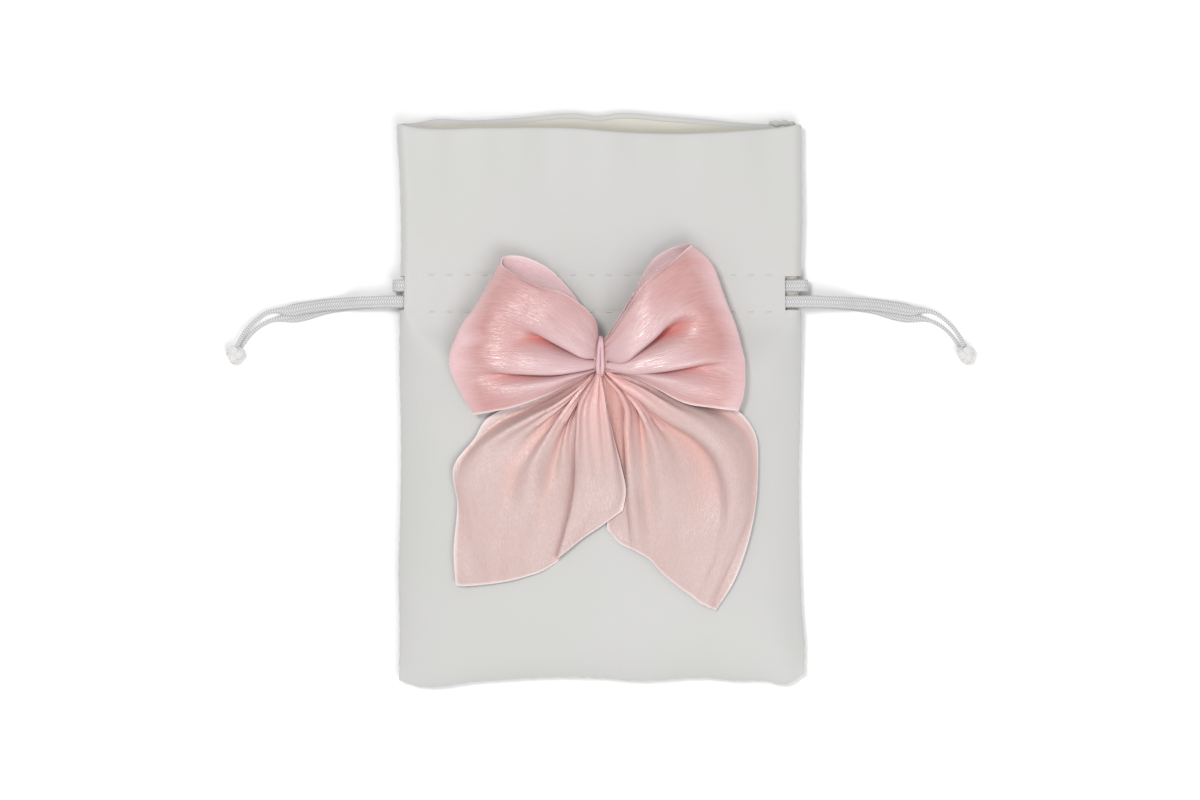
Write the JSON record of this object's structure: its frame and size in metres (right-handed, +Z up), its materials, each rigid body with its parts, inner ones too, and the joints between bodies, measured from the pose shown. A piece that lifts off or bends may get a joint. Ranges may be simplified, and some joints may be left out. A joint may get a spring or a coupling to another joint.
{
  "type": "drawstring gift pouch",
  "caption": "Flat satin gift pouch with a stitched casing, a drawstring at each side tied in a knot, and a ribbon bow tacked to its front.",
  "frame": {"origin": "middle of the pouch's footprint on the surface it lies on, with its back wall down", "axes": "+X across the pouch to the right, +Y from its bottom to its mouth, +Z up out of its front wall"},
  "size_m": [0.1862, 0.14, 0.0194],
  "materials": {
    "satin": "smooth ivory-white satin with a soft sheen",
    "satin_inside": "duller warm cream reverse of the satin",
    "thread": "white sewing thread",
    "drawstring_ribbon": "narrow white woven satin ribbon",
    "bow_ribbon": "wide pale pink pearl-finish satin ribbon",
    "tie_thread": "pink thread"
  },
  "bodies": {
    "pouch": {"front_panel": "satin", "back_panel": "satin", "front_header": "satin", "back_header": "satin", "front_facing": "satin_inside", "back_facing": "satin_inside", "bottom_seam": "satin_inside", "left_side_seam": "satin_inside", "right_side_seam": "satin_inside", "casing_stitches_front_upper": "thread", "casing_stitches_front_lower": "thread", "casing_stitches_back_upper": "thread", "casing_stitches_back_lower": "thread"},
    "left_side": {"left_mouth_seam": "satin_inside"},
    "right_side": {"right_mouth_seam": "satin_inside"},
    "left_cord": {"left_drawstring": "drawstring_ribbon", "left_cord_front_tail": "drawstring_ribbon", "left_cord_back_tail": "drawstring_ribbon", "left_cord_knot": "drawstring_ribbon"},
    "right_cord": {"right_drawstring": "drawstring_ribbon", "right_cord_front_tail": "drawstring_ribbon", "right_cord_back_tail": "drawstring_ribbon", "right_cord_knot": "drawstring_ribbon"},
    "bow": {"bow_tack": "thread", "bow_tie": "tie_thread", "bow_gather": "bow_ribbon", "bow_left_tail_root": "bow_ribbon", "bow_right_tail_root": "bow_ribbon"},
    "left_loop": {"bow_left_loop": "bow_ribbon"},
    "right_loop": {"bow_right_loop": "bow_ribbon"},
    "tails": {"bow_left_tail": "bow_ribbon", "bow_right_tail": "bow_ribbon"}
  },
  "joints": [
    {"name": "left_drawstring_pull", "type": "slide", "parent": "pouch", "child": "left_cord", "axis": [-1, 0, 0], "range_m": [0, 0.032], "deforming": ["front_header", "back_header", "front_facing", "back_facing", "casing_stitches_front_upper", "casing_stitches_front_lower", "casing_stitches_back_upper", "casing_stitches_back_lower"]},
    {"name": "right_drawstring_pull", "type": "slide", "parent": "pouch", "child": "right_cord", "axis": [1, 0, 0], "range_m": [0, 0.032], "deforming": ["front_header", "back_header", "front_facing", "back_facing", "casing_stitches_front_upper", "casing_stitches_front_lower", "casing_stitches_back_upper", "casing_stitches_back_lower"]},
    {"name": "right_side_gather", "type": "slide", "parent": "pouch", "child": "right_side", "axis": [-1, 0, 0], "range_m": [0, 0.032]},
    {"name": "left_side_gather", "type": "slide", "parent": "pouch", "child": "left_side", "axis": [1, 0, 0], "range_m": [0, 0.032]},
    {"name": "bow_swivel", "type": "hinge", "parent": "pouch", "child": "bow", "pos_m": [0, 0.0114, 0.01], "axis": [0, 0, 1], "range_deg": [-12, 12]},
    {"name": "left_loop_lift", "type": "hinge", "parent": "bow", "child": "left_loop", "pos_m": [-0.0034, 0.0114, 0.0156], "axis": [0, 1, 0], "range_deg": [0, 35]},
    {"name": "right_loop_lift", "type": "hinge", "parent": "bow", "child": "right_loop", "pos_m": [0.0034, 0.0114, 0.0156], "axis": [0, -1, 0], "range_deg": [0, 35]},
    {"name": "tails_lift", "type": "hinge", "parent": "bow", "child": "tails", "pos_m": [0, -0.006, 0.0113], "axis": [-1, 0, 0], "range_deg": [0, 60]}
  ],
  "couplings": [
    {"joint": "right_side_gather", "follows": "left_drawstring_pull", "ratio": 1},
    {"joint": "left_side_gather", "follows": "right_drawstring_pull", "ratio": 1}
  ]
}
